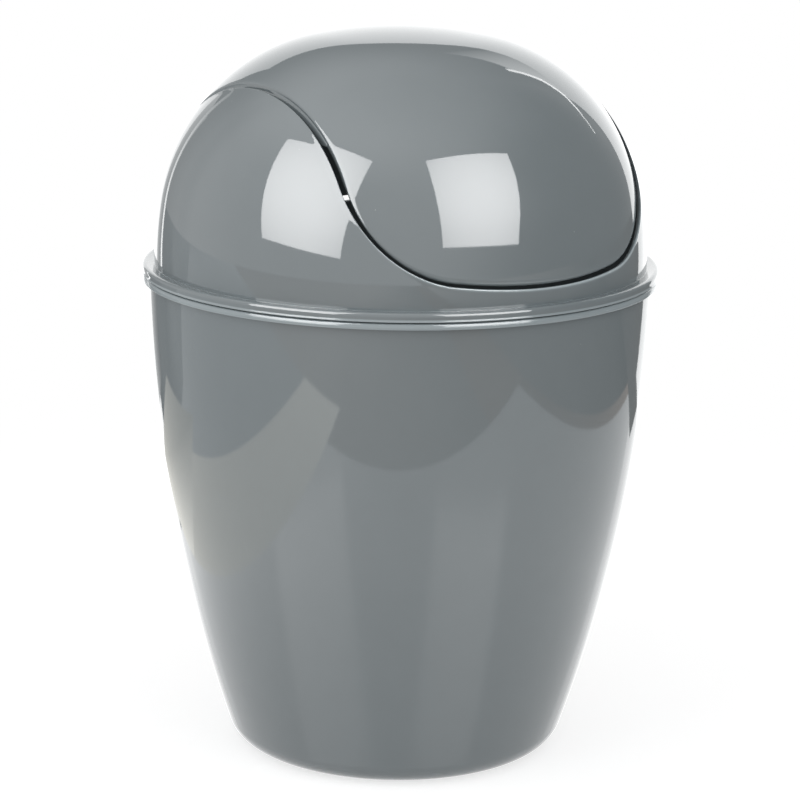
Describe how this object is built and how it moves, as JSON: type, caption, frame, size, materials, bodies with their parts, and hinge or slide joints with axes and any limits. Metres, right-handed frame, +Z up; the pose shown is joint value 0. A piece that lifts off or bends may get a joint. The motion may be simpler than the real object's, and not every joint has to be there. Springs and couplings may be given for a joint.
{
  "type": "swing-top waste bin",
  "caption": "Round tapered waste bin with a domed lid: a lift-off collar with two side lobes carries a flap that swings both ways and hangs shut.",
  "frame": {"origin": "centre of the foot, on the floor", "axes": "+Z up along the bin's axis, X along the flap's pivot, -Y towards the front that the flap is pushed from"},
  "size_m": [0.202, 0.202, 0.2868],
  "materials": {
    "bin_grey": "smooth moulded mid-grey plastic, glossy",
    "lid_grey": "smooth moulded mid-grey plastic, glossy",
    "flap_grey": "smooth moulded mid-grey plastic, glossy",
    "pin_plastic": "natural moulded plastic, satin"
  },
  "bodies": {
    "bucket": {"bin_body": "bin_grey"},
    "lid": {"lid_collar": "lid_grey"},
    "flap": {"swing_flap": "flap_grey", "pivot_pin_left": "pin_plastic", "pivot_pin_right": "pin_plastic"}
  },
  "joints": [
    {"name": "lid_lift", "type": "slide", "parent": "bucket", "child": "lid", "axis": [0, 0, 1], "range_m": [0, 0.12]},
    {"name": "flap_swing", "type": "hinge", "parent": "lid", "child": "flap", "pos_m": [0, 0, 0.25871], "axis": [1, 0, 0], "range_deg": [-90, 90]}
  ]
}
